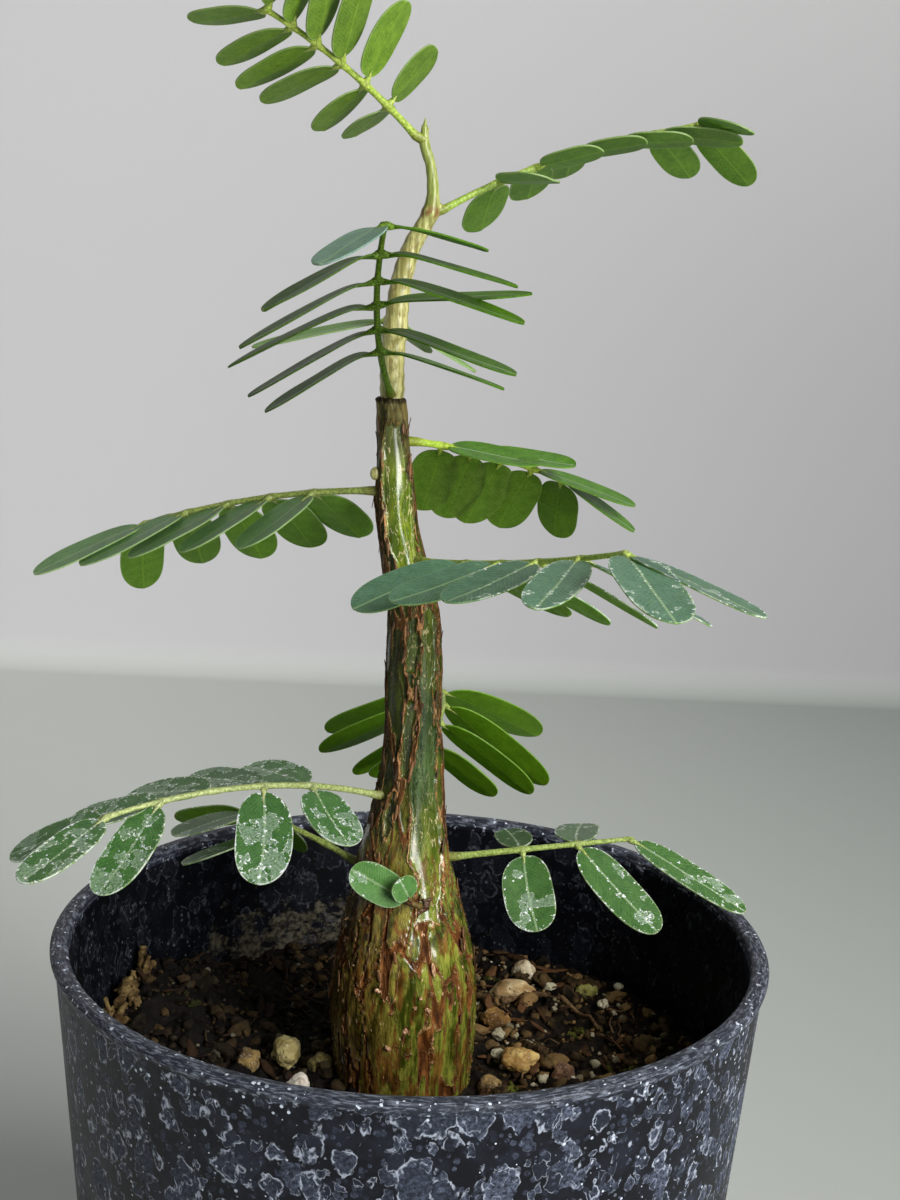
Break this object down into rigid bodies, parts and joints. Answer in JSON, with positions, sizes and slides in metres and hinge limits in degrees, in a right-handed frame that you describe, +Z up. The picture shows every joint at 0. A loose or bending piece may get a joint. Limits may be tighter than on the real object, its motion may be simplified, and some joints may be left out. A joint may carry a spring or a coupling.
{
  "type": "potted senna",
  "caption": "Young senna with a swollen bark-covered stem and feather-like compound leaves, standing in loose soil with small stones in a round tapered plastic pot.",
  "frame": {"origin": "middle of the pot's base, on the surface that the pot stands on", "axes": "+Z up along the pot's axis; -Y towards the viewer of the picture; +X to that viewer's right"},
  "size_m": [0.0985, 0.1031, 0.208],
  "materials": {
    "pot": "dark navy plastic with a mottled grey-blue fleck, satin",
    "soil": "damp dark bark and humus with pumice grains, rough",
    "bark": "olive and brown fissured bark, satin, glossier where it is bare",
    "leaf": "thin matte leaf, darker above than below, pale rib",
    "stone": "dry rough pumice, cream to tan"
  },
  "bodies": {
    "root": {"pot": "pot", "soil": "soil", "stem": "bark", "leaf_top": "leaf", "leaf_right_high": "leaf", "leaf_front_high": "leaf", "leaf_left_mid": "leaf", "leaf_right_mid": "leaf", "leaf_front_right": "leaf", "leaf_left_low": "leaf", "leaf_right_low": "leaf", "leaf_back": "leaf", "leaf_left_back": "leaf", "leaf_young": "leaf", "leaf_sprout": "leaf", "stone_01": "stone", "stone_02": "stone", "stone_03": "stone", "stone_04": "stone", "stone_05": "stone", "stone_06": "stone", "stone_07": "stone", "stone_08": "stone", "stone_09": "stone", "stone_10": "stone", "stone_11": "stone", "stone_12": "stone"}
  },
  "joints": []
}
